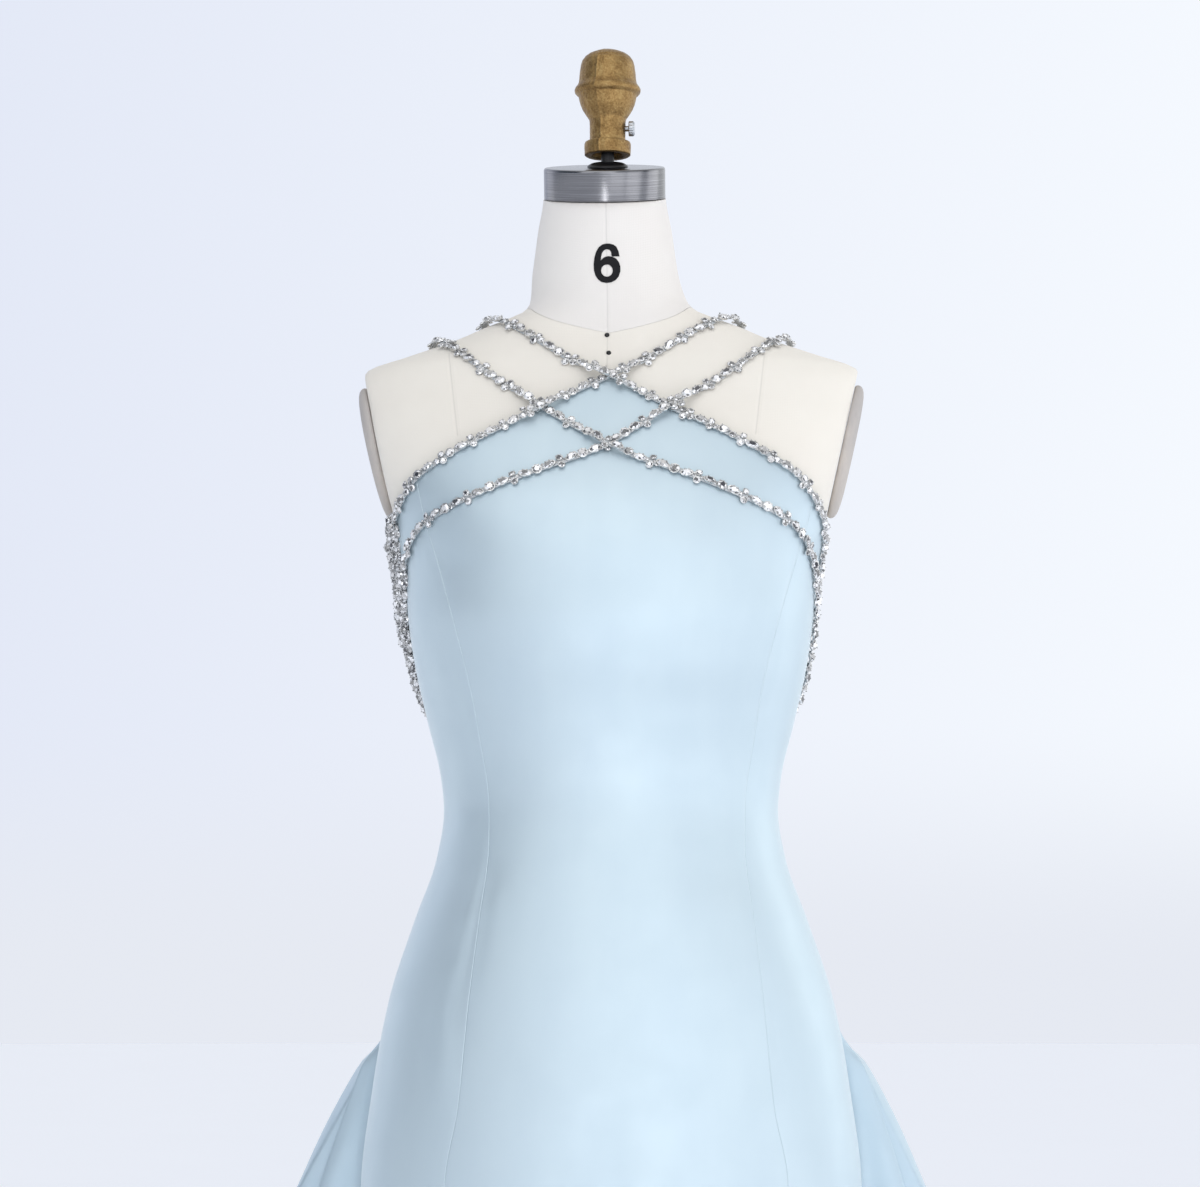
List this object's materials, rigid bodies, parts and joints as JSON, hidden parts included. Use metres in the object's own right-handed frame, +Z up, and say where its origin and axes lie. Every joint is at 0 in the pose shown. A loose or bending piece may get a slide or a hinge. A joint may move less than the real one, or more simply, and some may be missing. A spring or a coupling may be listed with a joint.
{
  "type": "mermaid evening gown on a dress form",
  "caption": "Fitted satin mermaid gown with crossed beaded straps, an overskirt and a train, on a limbless dress form with a pole and round base.",
  "frame": {"origin": "centre of the base's underside, on the floor", "axes": "+Z up along the pole, the gown's front towards -Y, its train towards +Y"},
  "size_m": [1.125, 1.0667, 1.6775],
  "materials": {
    "satin": "ice blue satin",
    "overskirt_satin": "ice blue satin",
    "beaded_trim": "clear stones in silver cups",
    "canvas": "off-white canvas cover",
    "arm_plate": "canvas-covered plate, worn",
    "brushed_steel": "brushed round",
    "cast_gold_finish": "rough cast, gold finish",
    "black_steel": "black",
    "bright_zinc": "zinc plated",
    "painted_steel": "off-white enamel"
  },
  "bodies": {
    "gown_on_form": {"front_center": "satin", "front_side_left": "satin", "front_side_right": "satin", "back_side_left": "satin", "back_side_right": "satin", "back_center_left": "satin", "back_center_right": "satin", "overskirt_side_left": "overskirt_satin", "overskirt_side_right": "overskirt_satin", "overskirt_back_left": "overskirt_satin", "overskirt_back_right": "overskirt_satin", "upper_trim_left": "beaded_trim", "upper_trim_right": "beaded_trim", "lower_trim_left": "beaded_trim", "lower_trim_right": "beaded_trim", "form_body": "canvas", "form_neck": "canvas", "arm_plate_left": "arm_plate", "arm_plate_right": "arm_plate", "neck_cap": "brushed_steel", "neck_rod": "black_steel", "finial": "cast_gold_finish", "pole": "painted_steel", "base": "painted_steel"},
    "clamp_screw": {"thumb_screw": "bright_zinc"}
  },
  "joints": [
    {"name": "screw_turn", "type": "hinge", "parent": "gown_on_form", "child": "clamp_screw", "pos_m": [-0.0025, 0, 1.614], "axis": [1, 0, 0], "range_deg": [-180, 180]}
  ]
}
